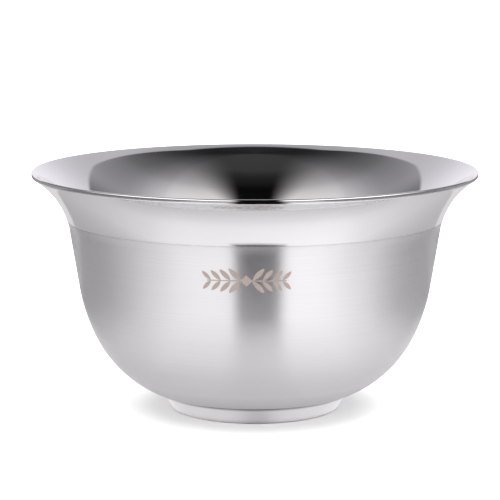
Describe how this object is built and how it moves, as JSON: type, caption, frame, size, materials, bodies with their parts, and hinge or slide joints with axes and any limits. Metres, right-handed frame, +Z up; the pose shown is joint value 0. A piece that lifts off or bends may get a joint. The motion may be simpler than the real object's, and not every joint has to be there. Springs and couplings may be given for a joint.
{
  "type": "shaving bowl",
  "caption": "Round double-walled steel bowl with a flared lip, a rounded body and a low conical foot, for working up shaving lather.",
  "frame": {"origin": "centre of the flat ring that the bowl stands on, in its plane", "axes": "+Z up along the bowl's axis, towards the mouth; X and Y lie in the standing plane, and the front, with the etched ornament, faces -Y"},
  "size_m": [0.115, 0.115, 0.0623],
  "materials": {
    "mirror_steel": "mirror polished",
    "satin_steel": "brushed round the axis; mirror polished on the outer shell above z 50 mm"
  },
  "bodies": {
    "root": {"inner_bowl": "mirror_steel", "outer_shell": "satin_steel", "lip_weld": "mirror_steel", "base_cap": "satin_steel", "base_weld": "satin_steel"}
  },
  "joints": []
}
